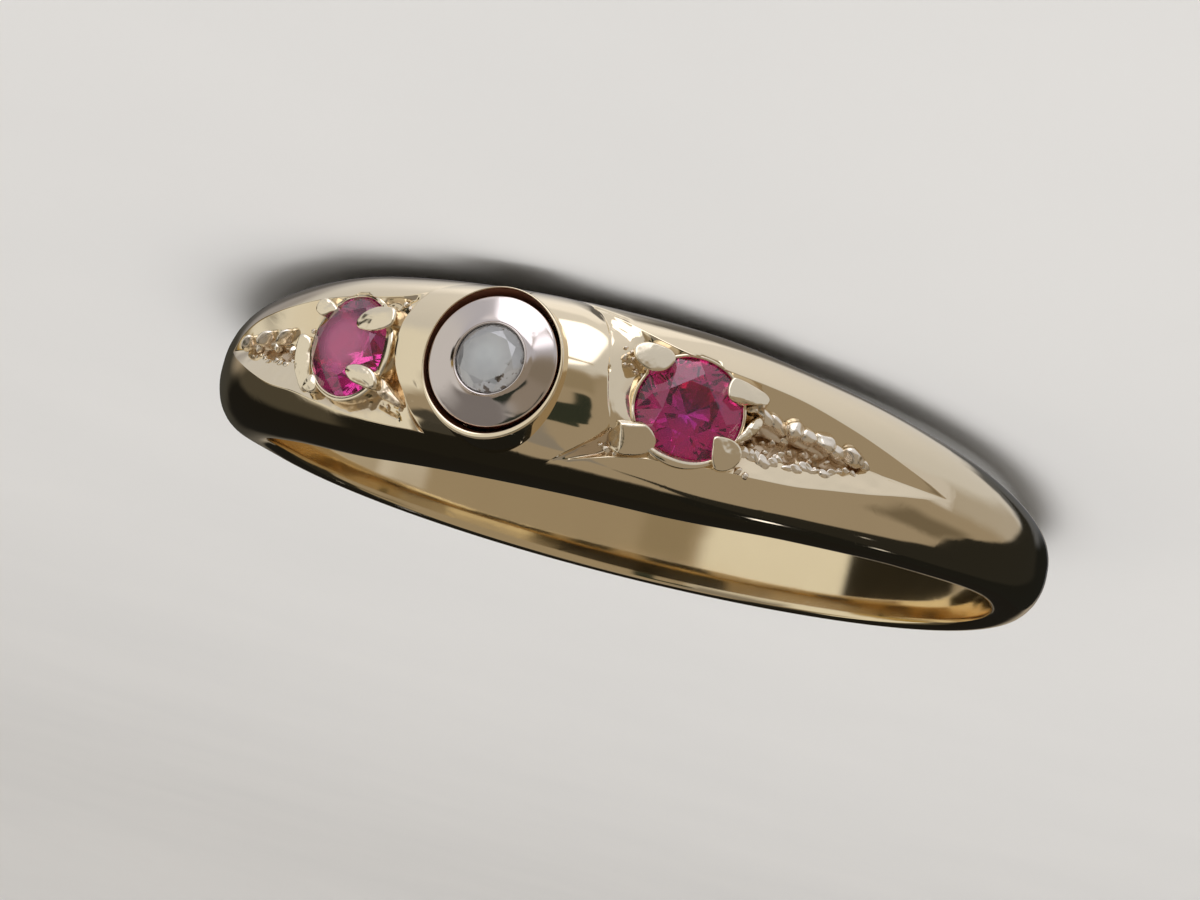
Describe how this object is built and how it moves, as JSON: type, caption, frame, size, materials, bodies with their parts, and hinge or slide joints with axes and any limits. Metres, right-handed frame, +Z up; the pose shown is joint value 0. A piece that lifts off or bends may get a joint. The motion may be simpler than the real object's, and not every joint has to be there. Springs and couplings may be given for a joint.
{
  "type": "ruby and diamond ring",
  "caption": "Tapered gold band with a domed front, a raised round cup holding a small diamond in a white metal collet, and a ruby in each of two pointed recesses.",
  "frame": {"origin": "centre of the bottom of the bounding box: the ring lies on its side on z = 0, resting on the wide edge of its front and the narrow edge of its back", "axes": "+Z up, close to the axis of the finger hole, which leans 3.04 degrees towards +Y; the jewelled front faces -Y; +X along the front"},
  "size_m": [0.0192, 0.0208, 0.0039],
  "materials": {
    "gold": "polished",
    "white_metal": "polished",
    "diamond": "polished",
    "ruby": "polished"
  },
  "bodies": {
    "root": {"band": "gold", "collet": "white_metal", "diamond": "diamond", "ruby_a": "ruby", "ruby_b": "ruby"}
  },
  "joints": []
}
